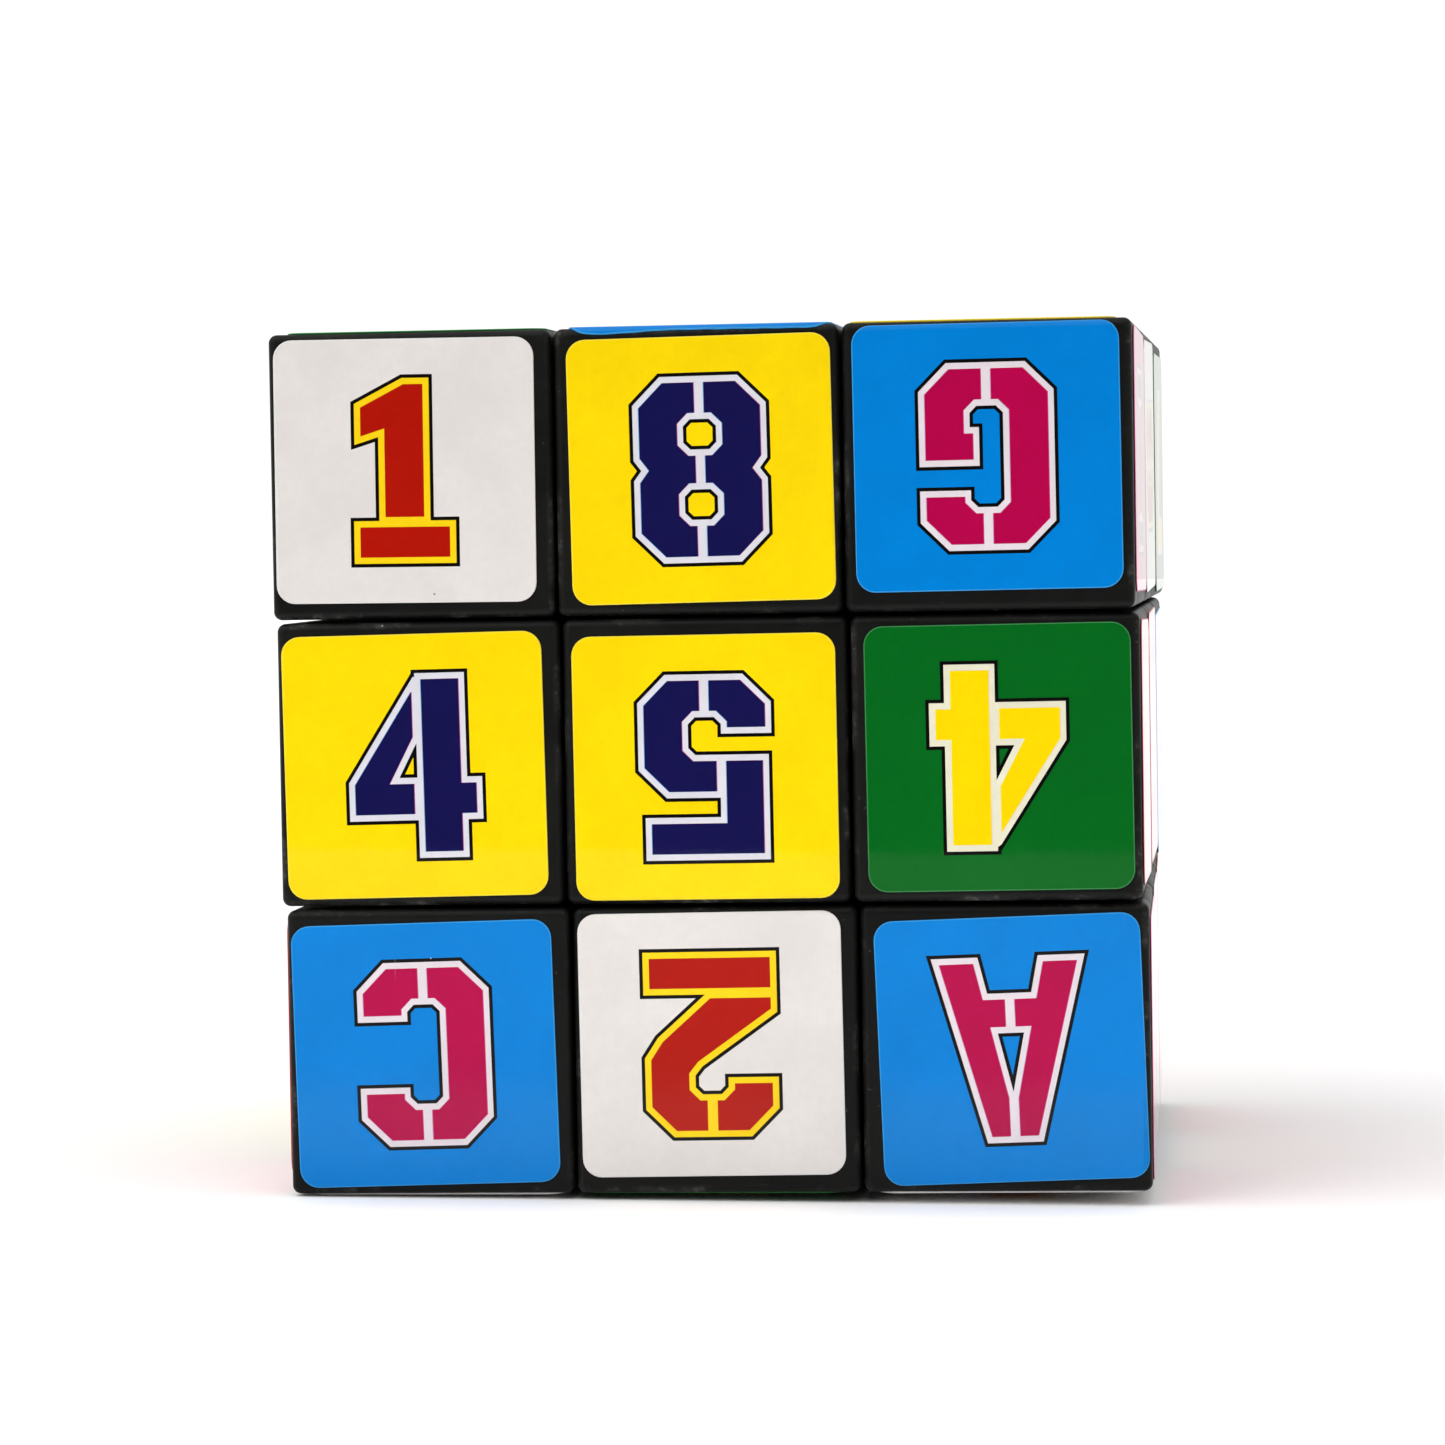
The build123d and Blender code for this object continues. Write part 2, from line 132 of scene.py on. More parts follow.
# Plain block stencil figures and letters with cut corners, in millimetres from the sticker's middle, y up: M, L and Z path steps.
GLYPHS = {
    "1": [
        "M 0.00 5.70 L 1.30 5.70 L 1.30 -3.04 L -1.30 -3.04 L -1.30 2.80 L -2.90 2.30 L -2.90 4.20 Z",
        "M -3.00 -5.70 L 3.00 -5.70 L 3.00 -3.70 L -3.00 -3.70 Z",
    ],
    "2": [
        "M -0.33 5.70 L -2.40 5.70 L -4.00 4.10 L -4.00 2.60 L -1.50 2.60 L -1.50 3.00 L -0.80 3.70 L -0.33 3.70 Z",
        "M 0.33 5.70 L 2.40 5.70 L 4.00 4.10 L 4.00 1.00 L 3.20 -0.20 L 0.00 -3.04 L -4.00 -3.04 L -4.00 -2.29 L 0.90 1.15 L 1.50 1.90 L 1.50 3.00 L 0.80 3.70 L 0.33 3.70 Z",
        "M -4.00 -5.70 L 4.00 -5.70 L 4.00 -3.70 L -4.00 -3.70 Z",
    ],
    "3": [
        "M 0.33 5.70 L 2.40 5.70 L 4.00 4.10 L 4.00 0.80 L 3.40 0.00 L 4.00 -0.80 L 4.00 -4.10 L 2.40 -5.70 L 0.33 -5.70 L 0.33 -3.70 L 0.80 -3.70 L 1.50 -3.00 L 1.50 -1.60 L 0.80 -0.90 L 0.33 -0.90 L 0.33 0.90 L 0.80 0.90 L 1.50 1.60 L 1.50 3.00 L 0.80 3.70 L 0.33 3.70 Z",
        "M -0.33 5.70 L -2.40 5.70 L -4.00 4.10 L -4.00 2.60 L -1.50 2.60 L -1.50 3.00 L -0.80 3.70 L -0.33 3.70 Z",
        "M -0.33 -5.70 L -2.40 -5.70 L -4.00 -4.10 L -4.00 -2.60 L -1.50 -2.60 L -1.50 -3.00 L -0.80 -3.70 L -0.33 -3.70 Z",
        "M -1.60 -0.90 L -0.33 -0.90 L -0.33 0.90 L -1.60 0.90 Z",
    ],
    "4": [
        "M 0.60 5.70 L 3.10 5.70 L 3.10 -1.20 L 4.10 -1.20 L 4.10 -3.20 L 3.10 -3.20 L 3.10 -5.70 L 0.60 -5.70 Z",
        "M -0.06 4.90 L -4.00 -1.20 L -4.00 -3.20 L -0.06 -3.20 L -0.06 -1.20 L -1.70 -1.20 L -0.06 1.90 Z",
    ],
    "5": [
        "M -3.80 5.70 L 3.60 5.70 L 3.60 3.70 L -1.40 3.70 L -1.40 -0.40 L -3.80 -0.40 Z",
        "M -0.74 1.60 L 2.40 1.60 L 4.00 0.00 L 4.00 -4.10 L 2.40 -5.70 L 0.33 -5.70 L 0.33 -3.70 L 0.80 -3.70 L 1.50 -3.00 L 1.50 -1.10 L 0.80 -0.40 L -0.74 -0.40 Z",
        "M -0.33 -5.70 L -2.40 -5.70 L -4.00 -4.10 L -4.00 -2.60 L -1.50 -2.60 L -1.50 -3.00 L -0.80 -3.70 L -0.33 -3.70 Z",
    ],
    "6": [
        "M -0.33 5.70 L -2.40 5.70 L -4.00 4.10 L -4.00 -4.10 L -2.40 -5.70 L -0.33 -5.70 L -0.33 -3.70 L -0.80 -3.70 L -1.50 -3.00 L -1.50 -1.50 L -0.80 -0.80 L -0.33 -0.80 L -0.33 1.20 L -1.50 1.20 L -1.50 3.00 L -0.80 3.70 L -0.33 3.70 Z",
        "M 0.33 5.70 L 2.40 5.70 L 4.00 4.10 L 4.00 2.60 L 1.50 2.60 L 1.50 3.00 L 0.80 3.70 L 0.33 3.70 Z",
        "M 0.33 1.20 L 2.40 1.20 L 4.00 -0.40 L 4.00 -4.10 L 2.40 -5.70 L 0.33 -5.70 L 0.33 -3.70 L 0.80 -3.70 L 1.50 -3.00 L 1.50 -1.50 L 0.80 -0.80 L 0.33 -0.80 Z",
    ],
    "7": [
        "M -4.00 3.70 L 4.00 3.70 L 4.00 5.70 L -4.00 5.70 Z",
        "M 4.00 3.04 L 4.00 2.00 L 0.70 -5.70 L -2.10 -5.70 L 1.10 3.04 Z",
    ],
    "8": [
        "M 0.33 5.70 L 2.40 5.70 L 4.00 4.10 L 4.00 0.80 L 3.40 0.00 L 4.00 -0.80 L 4.00 -4.10 L 2.40 -5.70 L 0.33 -5.70 L 0.33 -3.70 L 0.80 -3.70 L 1.50 -3.00 L 1.50 -1.60 L 0.80 -0.90 L 0.33 -0.90 L 0.33 0.90 L 0.80 0.90 L 1.50 1.60 L 1.50 3.00 L 0.80 3.70 L 0.33 3.70 Z",
        "M -0.33 5.70 L -2.40 5.70 L -4.00 4.10 L -4.00 0.80 L -3.40 0.00 L -4.00 -0.80 L -4.00 -4.10 L -2.40 -5.70 L -0.33 -5.70 L -0.33 -3.70 L -0.80 -3.70 L -1.50 -3.00 L -1.50 -1.60 L -0.80 -0.90 L -0.33 -0.90 L -0.33 0.90 L -0.80 0.90 L -1.50 1.60 L -1.50 3.00 L -0.80 3.70 L -0.33 3.70 Z",
    ],
    "A": [
        "M -0.33 5.70 L -1.50 5.70 L -4.50 -5.70 L -2.30 -5.70 L -1.77 -3.30 L -0.33 -3.30 L -0.33 -1.50 L -1.37 -1.50 L -0.33 3.20 Z",
        "M 0.33 5.70 L 1.50 5.70 L 4.50 -5.70 L 2.30 -5.70 L 1.77 -3.30 L 0.33 -3.30 L 0.33 -1.50 L 1.37 -1.50 L 0.33 3.20 Z",
    ],
    "B": [
        "M -4.00 -5.70 L -1.50 -5.70 L -1.50 5.70 L -4.00 5.70 Z",
        "M -0.84 5.70 L 2.40 5.70 L 4.00 4.10 L 4.00 0.80 L 3.40 0.00 L 4.00 -0.80 L 4.00 -4.10 L 2.40 -5.70 L -0.84 -5.70 L -0.84 -3.70 L 0.80 -3.70 L 1.50 -3.00 L 1.50 -1.60 L 0.80 -0.90 L -0.84 -0.90 L -0.84 0.90 L 0.80 0.90 L 1.50 1.60 L 1.50 3.00 L 0.80 3.70 L -0.84 3.70 Z",
    ],
    "C": [
        "M -0.33 5.70 L -2.40 5.70 L -4.00 4.10 L -4.00 -4.10 L -2.40 -5.70 L -0.33 -5.70 L -0.33 -3.70 L -0.80 -3.70 L -1.50 -3.00 L -1.50 3.00 L -0.80 3.70 L -0.33 3.70 Z",
        "M 0.33 5.70 L 2.40 5.70 L 4.00 4.10 L 4.00 2.60 L 1.50 2.60 L 1.50 3.00 L 0.80 3.70 L 0.33 3.70 Z",
        "M 0.33 -5.70 L 2.40 -5.70 L 4.00 -4.10 L 4.00 -2.60 L 1.50 -2.60 L 1.50 -3.00 L 0.80 -3.70 L 0.33 -3.70 Z",
    ],
    "D": [
        "M -4.00 -5.70 L -1.50 -5.70 L -1.50 5.70 L -4.00 5.70 Z",
        "M -0.84 5.70 L 2.40 5.70 L 4.00 4.10 L 4.00 -4.10 L 2.40 -5.70 L -0.84 -5.70 L -0.84 -3.70 L 0.80 -3.70 L 1.50 -3.00 L 1.50 3.00 L 0.80 3.70 L -0.84 3.70 Z",
    ],
    "E": [
        "M -4.00 -5.70 L -1.50 -5.70 L -1.50 5.70 L -4.00 5.70 Z",
        "M -0.84 3.70 L 3.60 3.70 L 3.60 5.70 L -0.84 5.70 Z",
        "M -0.84 -0.90 L 2.40 -0.90 L 2.40 0.90 L -0.84 0.90 Z",
        "M -0.84 -5.70 L 3.60 -5.70 L 3.60 -3.70 L -0.84 -3.70 Z",
    ],
    "F": [
        "M -4.00 -5.70 L -1.50 -5.70 L -1.50 5.70 L -4.00 5.70 Z",
        "M -0.84 3.70 L 3.60 3.70 L 3.60 5.70 L -0.84 5.70 Z",
        "M -0.84 -0.90 L 2.40 -0.90 L 2.40 0.90 L -0.84 0.90 Z",
    ],
    "G": [
        "M -0.33 5.70 L -2.40 5.70 L -4.00 4.10 L -4.00 -4.10 L -2.40 -5.70 L -0.33 -5.70 L -0.33 -3.70 L -0.80 -3.70 L -1.50 -3.00 L -1.50 3.00 L -0.80 3.70 L -0.33 3.70 Z",
        "M 0.33 5.70 L 2.40 5.70 L 4.00 4.10 L 4.00 2.60 L 1.50 2.60 L 1.50 3.00 L 0.80 3.70 L 0.33 3.70 Z",
        "M 0.33 -5.70 L 2.40 -5.70 L 4.00 -4.10 L 4.00 0.20 L 0.90 0.20 L 0.90 -1.50 L 1.50 -1.50 L 1.50 -3.00 L 0.80 -3.70 L 0.33 -3.70 Z",
    ],
    "H": [
        "M -4.00 -5.70 L -1.50 -5.70 L -1.50 5.70 L -4.00 5.70 Z",
        "M 4.00 -5.70 L 1.50 -5.70 L 1.50 5.70 L 4.00 5.70 Z",
        "M -0.84 -0.90 L 0.84 -0.90 L 0.84 0.90 L -0.84 0.90 Z",
    ],
    "I": [
        "M -3.00 4.10 L 3.00 4.10 L 3.00 5.70 L -3.00 5.70 Z",
        "M -1.25 -3.44 L 1.25 -3.44 L 1.25 3.44 L -1.25 3.44 Z",
        "M -3.00 -5.70 L 3.00 -5.70 L 3.00 -4.10 L -3.00 -4.10 Z",
    ],
}


# ------------------------------------------------------------------ outlines
def trace(path, step=0.24):
    """One closed outline from its path steps, as points in counter-clockwise order."""
    t, i, pts = path.split(), 0, []
    while i < len(t):
        c = t[i]
        if c in "ML":
            pts.append((float(t[i + 1]), float(t[i + 2])))
            i += 3
        elif c == "C":
            p0 = pts[-1]
            p1, p2, p3 = [(float(t[i + 1 + 2 * k]), float(t[i + 2 + 2 * k])) for k in range(3)]
            i += 7
            n = max(3, math.ceil((math.dist(p0, p1) + math.dist(p1, p2) + math.dist(p2, p3)) / step))
            for k in range(1, n + 1):
                s = k / n
                pts.append(tuple((1 - s) ** 3 * p0[j] + 3 * (1 - s) ** 2 * s * p1[j] + 3 * (1 - s) * s * s * p2[j]
                                 + s ** 3 * p3[j] for j in (0, 1)))
        else:
            i += 1
    keep = [pts[0]]
    for p in pts[1:]:
        if math.dist(p, keep[-1]) > 0.02:
            keep.append(p)
    if math.dist(keep[0], keep[-1]) < 0.02:
        keep.pop()
    a = np.array(keep)
    b = np.roll(a, -1, axis=0)
    if (a[:, 0] * b[:, 1] - b[:, 0] * a[:, 1]).sum() < 0:
        a = a[::-1].copy()
    return a


def edges_of(loop):
    nxt = np.roll(loop, -1, axis=0)
    d = nxt - loop
    length = np.hypot(d[:, 0], d[:, 1])
    t = d / length[:, None]
    return t, np.stack([t[:, 1], -t[:, 0]], 1), length


def grow(loop, d, reach=2.2):
    """The outline moved out by d, with sharp corners kept sharp up to reach."""
    t, n, _ = edges_of(loop)
    out = []
    for i in range(len(loop)):
        n0, n1, t0, t1 = n[i - 1], n[i], t[i - 1], t[i]
        cos = float(n0 @ n1)
        turn = t0[0] * t1[1] - t0[1] * t1[0]
        k = math.sqrt(max(0.0, (1 - cos) / max(1e-9, 1 + cos)))
        if turn > 0 and k > reach:
            out.append(loop[i] + d * (n0 + reach * t0))
            out.append(loop[i] + d * (n1 - reach * t1))
        else:
            k = min(k, 6.0)
            out.append(loop[i] + d * (n0 + (k if turn > 0 else -k) * t0))
    return np.array(out)


def inside(points, loop):
    x, y = points[:, 0][:, None], points[:, 1][:, None]
    a, b = loop, np.roll(loop, -1, axis=0)
    cross = (a[:, 1] > y) != (b[:, 1] > y)
    dy = b[:, 1] - a[:, 1]
    dy = np.where(np.abs(dy) < 1e-12, 1e-12, dy)
    at = a[:, 0] + (y - a[:, 1]) * (b[:, 0] - a[:, 0]) / dy
    return (cross & (x < at)).sum(1) % 2 == 1


def near(points, loop, d, reach=2.2):
    """True where a point lies in the outline or within d outside it, corners kept sharp."""
    hit = inside(points, loop)
    t, n, length = edges_of(loop)
    px = points[:, None, :] - loop[None]
    s = (px * t).sum(2)
    w = (px * n).sum(2)
    hit |= ((s >= 0) & (s <= length) & (w >= 0) & (w <= d)).any(1)
    n0, t0 = np.roll(n, 1, axis=0), np.roll(t, 1, axis=0)
    convex = (t0[:, 0] * t[:, 1] - t0[:, 1] * t[:, 0]) > 1e-6
    w0, s0 = (px * n0).sum(2), (px * t0).sum(2)
    corner = (w0 <= d) & (w <= d) & (s0 >= 0) & (s <= 0) & (s0 <= reach * d) & (s >= -reach * d)
    return hit | (corner & convex).any(1)


def gap_to(points, loop):
    """Distance from each point to the nearest edge of the outline."""
    t, _, length = edges_of(loop)
    px = points[:, None, :] - loop[None]
    s = np.clip((px * t).sum(2), 0, length)
    q = px - s[..., None] * t
    return np.sqrt((q ** 2).sum(2)).min(1)


def rounded(half, r, steps=7):
    pts = []
    for k in range(4):
        a0 = k * math.pi / 2
        c = np.array([math.cos(a0 + math.pi / 4), math.sin(a0 + math.pi / 4)]) * math.sqrt(2) * (half - r)
        for j in range(steps + 1):
            a = a0 + j / steps * math.pi / 2
            pts.append(c + r * np.array([math.cos(a), math.sin(a)]))
    return np.array(pts)


def turned(points, degrees):
    a = math.radians(degrees)
    m = np.array([[math.cos(a), -math.sin(a)], [math.sin(a), math.cos(a)]])
    return points @ m.T


# ------------------------------------------------------------------ node materials
class Nodes:
    def __init__(self, name):
        self.material = bpy.data.materials.new(name)
        self.material.use_nodes = True
        self.tree = self.material.node_tree
        self.tree.nodes.clear()
        self.out = self.tree.nodes.new("ShaderNodeOutputMaterial")
        self.shader = self.tree.nodes.new("ShaderNodeBsdfPrincipled")
        self.link(self.shader.outputs[0], self.out.inputs[0])
        self.where = self.tree.nodes.new("ShaderNodeTexCoord").outputs["Object"]

    def link(self, a, b):
        self.tree.links.new(a, b)

    def feed(self, socket, value):
        if hasattr(value, "is_linked"):
            self.link(value, socket)
        else:
            socket.default_value = value

    def math(self, op, a, b=0.0, c=0.0, clamp=False):
        n = self.tree.nodes.new("ShaderNodeMath")
        n.operation, n.use_clamp = op, clamp
        for k, v in enumerate((a, b, c)):
            self.feed(n.inputs[k], v)
        return n.outputs[0]

    def ramp(self, value, lo, hi, to_lo=0.0, to_hi=1.0, smooth=True):
        n = self.tree.nodes.new("ShaderNodeMapRange")
        n.interpolation_type = "SMOOTHSTEP" if smooth else "LINEAR"
        n.clamp = True
        for k, v in enumerate((value, lo, hi, to_lo, to_hi)):
            self.feed(n.inputs[k], v)
        return n.outputs[0]

    def place(self, scale=(1, 1, 1), shift=(0, 0, 0), turn=(0, 0, 0), vector=None):
        n = self.tree.nodes.new("ShaderNodeMapping")
        self.link(vector or self.where, n.inputs[0])
        n.inputs["Location"].default_value = shift
        n.inputs["Rotation"].default_value = turn
        n.inputs["Scale"].default_value = scale
        return n.outputs[0]

    def noise(self, scale, detail=2.0, rough=0.5, vector=None, distortion=0.0):
        n = self.tree.nodes.new("ShaderNodeTexNoise")
        self.link(vector or self.where, n.inputs["Vector"])
        n.inputs["Scale"].default_value = scale
        n.inputs["Detail"].default_value = detail
        n.inputs["Roughness"].default_value = rough
        n.inputs["Distortion"].default_value = distortion
        return n.outputs[0]

    def cells(self, scale, vector=None):
        """Distance to the nearest of scattered points, and a chance number for each point."""
        n = self.tree.nodes.new("ShaderNodeTexVoronoi")
        self.link(vector or self.where, n.inputs["Vector"])
        n.inputs["Scale"].default_value = scale
        sep = self.tree.nodes.new("ShaderNodeSeparateColor")
        self.link(n.outputs["Color"], sep.inputs[0])
        return n.outputs["Distance"], sep.outputs[0]

    def specks(self, scale, size, share, vector=None):
        """Scattered small dots: their radius as a share of the spacing, and how many of the points carry one."""
        d, chance = self.cells(scale, vector)
        dot = self.ramp(d, size * 0.55, size, 1.0, 0.0)
        return self.math("MULTIPLY", dot, self.math("GREATER_THAN", chance, 1.0 - share))

    def blend(self, share, a, b):
        n = self.tree.nodes.new("ShaderNodeMix")
        n.data_type = "RGBA"
        self.feed(n.inputs[0], share)
        self.feed(n.inputs[6], a)
        self.feed(n.inputs[7], b)
        return n.outputs[2]

    def bump(self, height, distance, strength=1.0, under=None):
        n = self.tree.nodes.new("ShaderNodeBump")
        n.inputs["Strength"].default_value = strength
        n.inputs["Distance"].default_value = distance
        self.link(height, n.inputs["Height"])
        if under is not None:
            self.link(under, n.inputs["Normal"])
        return n.outputs[0]

    def edge_mask(self, lo=8.86, hi=9.3, square=0.0):
        """1 on the rounded edges of the small cubes, 0 on their flats: the second largest distance from the small cube's middle. square: how far the layer rests off square."""
        sep = self.tree.nodes.new("ShaderNodeSeparateXYZ")
        self.link(self.place(turn=(0, 0, -math.radians(square))), sep.inputs[0])
        a = []
        for k in range(3):
            v = self.math("DIVIDE", sep.outputs[k], PITCH * MM)
            v = self.math("SUBTRACT", v, self.math("ROUND", self.math("MULTIPLY", v, 0.999)))
            a.append(self.math("MULTIPLY", self.math("ABSOLUTE", v), PITCH))
        ab, bc, ca = (self.math("MINIMUM", a[i], a[j]) for i, j in ((0, 1), (1, 2), (2, 0)))
        second = self.math("MAXIMUM", self.math("MAXIMUM", ab, bc), ca)
        return self.ramp(second, lo, hi)


def rgb(r, g, b):
    """A colour from 0-255 display values, as linear light."""
    def lin(v):
        v /= 255
        return v / 12.92 if v <= 0.04045 else ((v + 0.055) / 1.055) ** 2.4
    return (lin(r), lin(g), lin(b), 1.0)


def scaled(c, k):
    return (min(1.0, c[0] * k), min(1.0, c[1] * k), min(1.0, c[2] * k), 1.0)


def black_plastic(name, seed, colour=(14, 14, 13), rough=0.42, wear=1.0, dust=1.0, grain=1.0, square=0.0):
    """Moulded black plastic: fine grain, rubbed pale edges, hairline scuffs and a little dust."""
    m = Nodes(name)
    base = rgb(*colour)
    shift = (seed * 0.0137, -seed * 0.0071, seed * 0.0043)
    at = m.place(shift=shift)
    cloud = m.noise(90, 3, 0.6, at)
    fine = m.noise(2600, 3, 0.65, at)
    tone = m.blend(m.ramp(cloud, 0.3, 0.7), scaled(base, 0.72), scaled(base, 1.35))
    # rubbed edges
    edge = m.edge_mask(square=square)
    patch = m.ramp(m.noise(210, 4, 0.7, at), 0.50, 0.72)
    fleck = m.ramp(m.noise(1500, 3, 0.7, at), 0.48, 0.66)
    rub = m.math("MULTIPLY", m.math("MULTIPLY", edge, patch), m.ramp(fleck, 0.0, 1.0, 0.25, 1.0))
    rub = m.math("MULTIPLY", rub, 0.55 * wear, clamp=True)
    # hairline scuffs in two directions
    a = m.noise(1.0, 2, 0.5, m.place(scale=(2600, 180, 2600), shift=shift, turn=(0.35, 0.2, 0.5)))
    b = m.noise(1.0, 2, 0.5, m.place(scale=(220, 2400, 2400), shift=shift, turn=(0.1, 0.6, -0.3)))
    hair = m.math("MAXIMUM", m.ramp(a, 0.70, 0.78), m.ramp(b, 0.71, 0.79))
    hair = m.math("MULTIPLY", hair, m.ramp(m.noise(60, 2, 0.5, at), 0.45, 0.7))
    # dust
    spots = m.math("MAXIMUM", m.specks(700, 0.055, 0.10 * dust, at), m.specks(330, 0.03, 0.16 * dust, m.place(shift=(0.003, 0.001, 0.002))))
    c = m.blend(rub, tone, rgb(112, 110, 106))
    c = m.blend(m.math("MULTIPLY", hair, 0.22 * wear), c, rgb(120, 118, 114))
    c = m.blend(m.math("MULTIPLY", spots, 0.75), c, rgb(205, 203, 196))
    m.link(c, m.shader.inputs["Base Color"])
    r = m.ramp(m.noise(420, 4, 0.6, at), 0.25, 0.75, rough - 0.07, rough + 0.09)
    r = m.math("ADD", r, m.math("MULTIPLY", rub, 0.22))
    r = m.math("ADD", r, m.math("MULTIPLY", spots, 0.3), clamp=True)
    m.link(r, m.shader.inputs["Roughness"])
    height = m.math("ADD", m.math("MULTIPLY", fine, 0.5), m.math("MULTIPLY", m.noise(600, 3, 0.6, at), 0.5))
    height = m.math("SUBTRACT", height, m.math("MULTIPLY", hair, 0.4))
    height = m.math("ADD", height, m.math("MULTIPLY", spots, 1.2))
    n = m.bump(height, 0.000022 * grain, 0.55)
    m.link(m.bump(m.noise(70, 2, 0.4, at), 0.00012, 0.35, n), m.shader.inputs["Normal"])
    m.shader.inputs["IOR"].default_value = 1.5
    m.shader.inputs["Specular IOR Level"].default_value = 0.11
    return m.material


def light_plastic(name):
    """Satin off-white plastic of the core, with flow marks and faint grey rubbing."""
    m = Nodes(name)
    cloud = m.noise(120, 4, 0.6)
    c = m.blend(m.ramp(cloud, 0.3, 0.7), rgb(214, 209, 198), rgb(232, 229, 221))
    rub = m.ramp(m.noise(700, 5, 0.7), 0.6, 0.78)
    c = m.blend(m.math("MULTIPLY", rub, 0.3), c, rgb(140, 137, 130))
    m.link(c, m.shader.inputs["Base Color"])
    m.link(m.ramp(m.noise(500, 3), 0.3, 0.7, 0.34, 0.52), m.shader.inputs["Roughness"])
    m.link(m.bump(m.noise(1800, 3), 0.00002, 0.5), m.shader.inputs["Normal"])
    return m.material


def steel(name, tint, rough, stretch):
    """Drawn or turned steel: fine lines along the metal, small oil stains."""
    m = Nodes(name)
    lines = m.noise(1.0, 3, 0.6, m.place(scale=stretch))
    stain = m.ramp(m.noise(260, 4, 0.6), 0.5, 0.72)
    c = m.blend(m.ramp(lines, 0.3, 0.7), scaled(rgb(*tint), 0.86), rgb(*tint))
    c = m.blend(m.math("MULTIPLY", stain, 0.35), c, scaled(rgb(*tint), 0.45))
    m.link(c, m.shader.inputs["Base Color"])
    m.shader.inputs["Metallic"].default_value = 1.0
    r = m.math("ADD", m.ramp(lines, 0.2, 0.8, rough - 0.06, rough + 0.1), m.math("MULTIPLY", stain, 0.18))
    m.link(r, m.shader.inputs["Roughness"])
    m.link(m.bump(lines, 0.00001, 0.4), m.shader.inputs["Normal"])
    return m.material


def ink(name, colour, seed, rough=0.022, spec=0.12, mottle=0.05, specks=1.0, paper=False):
    """Printed glossy vinyl: faint unevenness in the ink, soft waves and orange peel in the gloss, dust specks and hairlines."""
    m = Nodes(name)
    at = m.place(shift=(seed * 0.0111, seed * 0.0053, -seed * 0.0087))
    base = rgb(*colour)
    grain = m.noise(1500, 4, 0.7, at)
    cloud = m.noise(170, 4, 0.6, at)
    c = m.blend(m.ramp(cloud, 0.3, 0.7), scaled(base, 1 - mottle), scaled(base, 1 + mottle * 0.6))
    c = m.blend(m.ramp(grain, 0.35, 0.65, 0.0, 0.5), c, m.blend(0.5, c, scaled(base, 1 - 2.2 * mottle)))
    dark = m.specks(310, 0.035, 0.10 * specks, at)
    pale = m.specks(420, 0.028, 0.10 * specks, m.place(shift=(0.004, 0.007, 0.001)))
    hairs = m.noise(1.0, 2, 0.5, m.place(scale=(2400, 2400, 130), turn=(0.5, 0.4, 0.2)))
    hairs = m.math("MULTIPLY", m.ramp(hairs, 0.745, 0.80), m.ramp(m.noise(80, 2, 0.5, at), 0.5, 0.7))
    c = m.blend(m.math("MULTIPLY", dark, 0.55), c, rgb(60, 55, 50) if paper else scaled(base, 0.25))
    c = m.blend(m.math("MULTIPLY", pale, 0.5), c, rgb(225, 222, 215))
    c = m.blend(m.math("MULTIPLY", hairs, 0.10), c, rgb(225, 222, 215))
    m.link(c, m.shader.inputs["Base Color"])
    smear = m.noise(110, 4, 0.6, at, 0.6)
    r = m.math("ADD", m.ramp(smear, 0.35, 0.75, rough - 0.006, rough + 0.01), m.math("MULTIPLY", hairs, 0.25))
    r = m.math("ADD", r, m.math("MULTIPLY", m.math("MAXIMUM", dark, pale), 0.4), clamp=True)
    m.link(r, m.shader.inputs["Roughness"])
    n = m.bump(m.noise(75, 2, 0.4, at), 0.00005, 0.12)
    h = m.math("SUBTRACT", m.noise(950, 3, 0.6, at), m.math("MULTIPLY", hairs, 0.6))
    h = m.math("ADD", h, m.math("MULTIPLY", m.math("MAXIMUM", dark, pale), 1.5))
    m.link(m.bump(h, 0.0000015, 0.6, n), m.shader.inputs["Normal"])
    m.shader.inputs["IOR"].default_value = 1.47
    m.shader.inputs["Specular IOR Level"].default_value = spec
    return m.material


GROUND = {
    "W": ("white", (221, 216, 213)), "Y": ("yellow", (247, 212, 11)), "B": ("blue", (4, 124, 207)),
    "G": ("green", (8, 99, 29)), "R": ("red", (190, 26, 26)), "X": ("pink", (208, 46, 118)),
}
INKS = {  # fill, band, and what shows beside the fill where the inks are out of register
    "W": ((171, 22, 10), (246, 208, 24), None, None),
    "Y": ((22, 20, 75), (216, 214, 222), (120, 170, 214), (170, 70, 130)),
    "B": ((176, 8, 72), (222, 212, 218), (196, 160, 196), (200, 70, 130)),
    "G": ((246, 210, 6), (224, 220, 196), None, (240, 190, 120)),
    "R": ((226, 220, 214), (24, 22, 84), None, None),
    "X": ((8, 100, 40), (224, 218, 214), (150, 196, 190), None),
}
LAYER_OF = {0: "top_layer", 2: "bottom_layer"}

